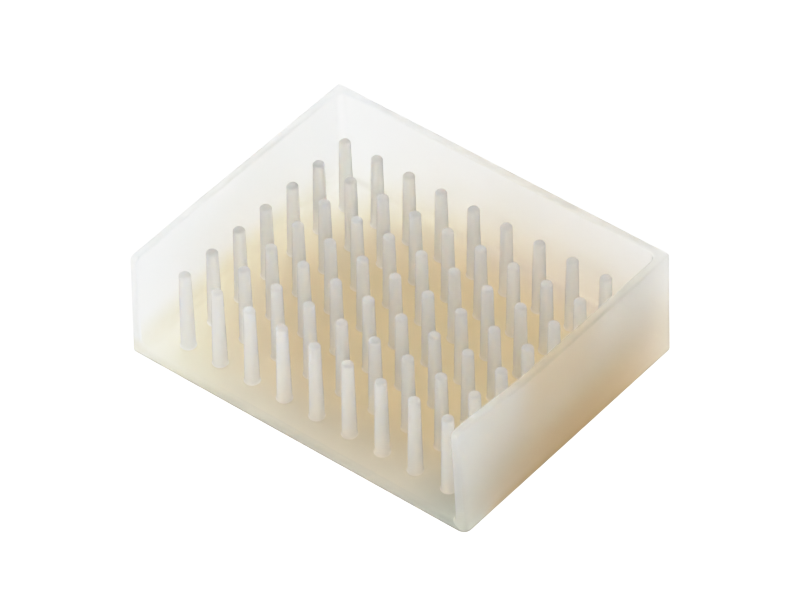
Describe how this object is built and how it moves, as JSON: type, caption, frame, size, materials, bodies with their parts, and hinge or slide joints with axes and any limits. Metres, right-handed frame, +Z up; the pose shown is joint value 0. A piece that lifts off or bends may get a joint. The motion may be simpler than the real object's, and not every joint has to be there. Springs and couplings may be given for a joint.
{
  "type": "silicone soap dish",
  "caption": "Rectangular tray open along one long side, with a grid of upright drafted pins that hold a bar of soap above a floor sloping to the open edge.",
  "frame": {"origin": "on the table under the middle of the tray, halfway between the open edge and the back", "axes": "+X along the open edge to the right as seen from the open front, +Y from the open edge to the back wall, +Z up"},
  "size_m": [0.115, 0.09, 0.035],
  "materials": {
    "silicone": "frosted translucent silicone, satin, pale warm white"
  },
  "bodies": {
    "root": {"left_wall": "silicone", "right_wall": "silicone", "back_wall": "silicone", "pin_strip_1": "silicone", "pin_strip_2": "silicone", "pin_strip_3": "silicone", "pin_strip_4": "silicone", "pin_strip_5": "silicone", "pin_strip_6": "silicone", "pin_strip_7": "silicone", "pin_strip_8": "silicone", "pin_strip_9": "silicone"}
  },
  "joints": []
}
